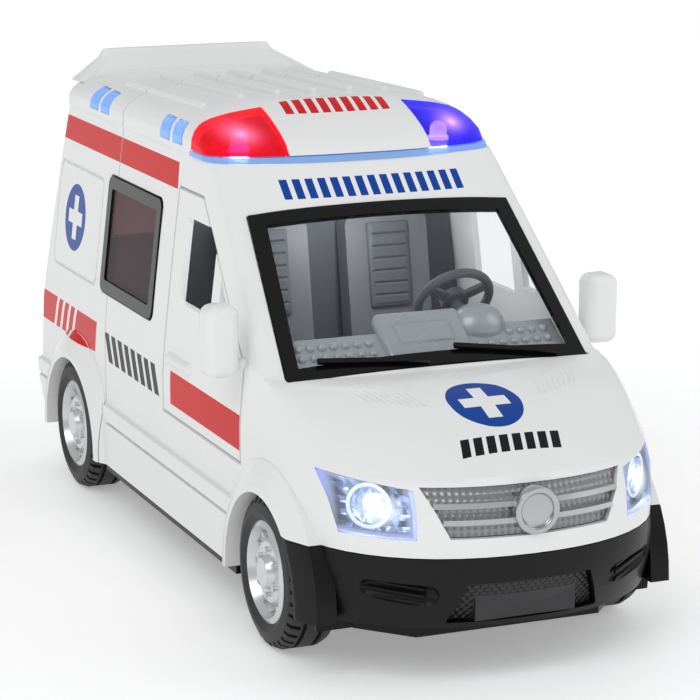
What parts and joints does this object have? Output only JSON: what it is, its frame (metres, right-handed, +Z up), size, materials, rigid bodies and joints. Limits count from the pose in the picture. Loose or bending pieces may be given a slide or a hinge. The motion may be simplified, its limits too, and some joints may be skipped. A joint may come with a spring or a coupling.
{
  "type": "toy ambulance",
  "caption": "High-roof toy ambulance van with translucent roof lamps, clear windscreen over a detailed cab, rubber-look wheels, a friction drive and hinged rear doors.",
  "frame": {"origin": "on the ground under the middle of the van", "axes": "nose towards -Y, +X to the van's left side, +Z up"},
  "size_m": [0.1218, 0.2774, 0.1358],
  "materials": {
    "white": "glossy white moulded plastic",
    "black": "black moulded plastic",
    "gloss_black": "glossy black plastic",
    "dark_grey": "dark grey plastic",
    "grey": "grey plastic",
    "silver_plastic": "silver painted plastic",
    "chrome": "vacuum plated reflector",
    "red_clear": "clear red plastic",
    "blue_clear": "clear blue plastic",
    "clear": "clear plastic",
    "smoke": "smoked plastic",
    "led": "clear diode body",
    "red": "red plastic",
    "tyre": "black moulded tyre",
    "steel": "plain steel",
    "gear": "natural plastic gear",
    "board": "circuit board"
  },
  "bodies": {
    "van": {"chassis": "black", "front_shell": "white", "rear_shell": "white", "roof_cap": "white", "lamp_tray": "blue_clear", "red_lamp_lens": "red_clear", "blue_lamp_lens": "blue_clear", "roof_lamp_leds": "led", "side_light_lenses_left": "blue_clear", "side_light_lenses_right": "blue_clear", "front_bumper": "black", "bumper_mesh": "dark_grey", "grille": "silver_plastic", "headlight_lens_left": "clear", "headlight_lens_right": "clear", "headlight_bowl_left": "chrome", "headlight_bowl_right": "chrome", "headlight_leds": "led", "windscreen_frame": "gloss_black", "windscreen_glass": "clear", "wipers": "black", "side_window_frame_left": "gloss_black", "side_window_frame_right": "gloss_black", "side_glass_left": "smoke", "side_glass_right": "smoke", "mirror_left": "white", "mirror_right": "white", "cab_floor": "dark_grey", "dashboard": "grey", "steering_wheel": "dark_grey", "seat_left": "dark_grey", "seat_right": "dark_grey", "bulkhead": "dark_grey", "patient_bed": "grey", "hinge_pins": "steel", "tail_lamps": "red", "gear_case_left": "dark_grey", "gear_case_right": "dark_grey", "battery_cover": "black", "button_cells": "steel", "circuit_board": "board", "speaker": "dark_grey"},
    "front_wheels": {"front_axle": "steel", "tyre_front_left": "tyre", "tyre_front_right": "tyre", "rim_front_left": "silver_plastic", "rim_front_right": "silver_plastic"},
    "rear_wheels": {"rear_axle": "steel", "axle_gear": "gear", "tyre_rear_left": "tyre", "tyre_rear_right": "tyre", "rim_rear_left": "silver_plastic", "rim_rear_right": "silver_plastic"},
    "lay_shaft": {"lay_gear": "gear"},
    "flywheel_shaft": {"flywheel": "steel"},
    "left_rear_door": {"rear_door_left": "white", "rear_glass_left": "smoke"},
    "right_rear_door": {"rear_door_right": "white", "rear_glass_right": "smoke"},
    "power_switch": {"switch_knob": "black"}
  },
  "joints": [
    {"name": "front_axle_spin", "type": "hinge", "parent": "van", "child": "front_wheels", "pos_m": [0, -0.082, 0.02065], "axis": [1, 0, 0], "continuous": true},
    {"name": "rear_axle_spin", "type": "hinge", "parent": "van", "child": "rear_wheels", "pos_m": [0, 0.0895, 0.02065], "axis": [1, 0, 0], "continuous": true},
    {"name": "lay_shaft_spin", "type": "hinge", "parent": "van", "child": "lay_shaft", "pos_m": [0, 0.08015, 0.02605], "axis": [1, 0, 0], "continuous": true},
    {"name": "flywheel_spin", "type": "hinge", "parent": "van", "child": "flywheel_shaft", "pos_m": [0, 0.06975, 0.02751], "axis": [1, 0, 0], "continuous": true},
    {"name": "left_rear_door_hinge", "type": "hinge", "parent": "van", "child": "left_rear_door", "pos_m": [0.0392, 0.13287, 0.07628], "axis": [0, 0.1587, -0.9873], "range_deg": [0, 100]},
    {"name": "right_rear_door_hinge", "type": "hinge", "parent": "van", "child": "right_rear_door", "pos_m": [-0.0392, 0.13287, 0.07628], "axis": [0, -0.1587, 0.9873], "range_deg": [0, 100]},
    {"name": "power_switch_slide", "type": "slide", "parent": "van", "child": "power_switch", "axis": [0, 1, 0], "range_m": [0, 0.004]}
  ],
  "couplings": [
    {"joint": "lay_shaft_spin", "follows": "rear_axle_spin", "ratio": -2.6},
    {"joint": "flywheel_spin", "follows": "rear_axle_spin", "ratio": 7.5111}
  ]
}
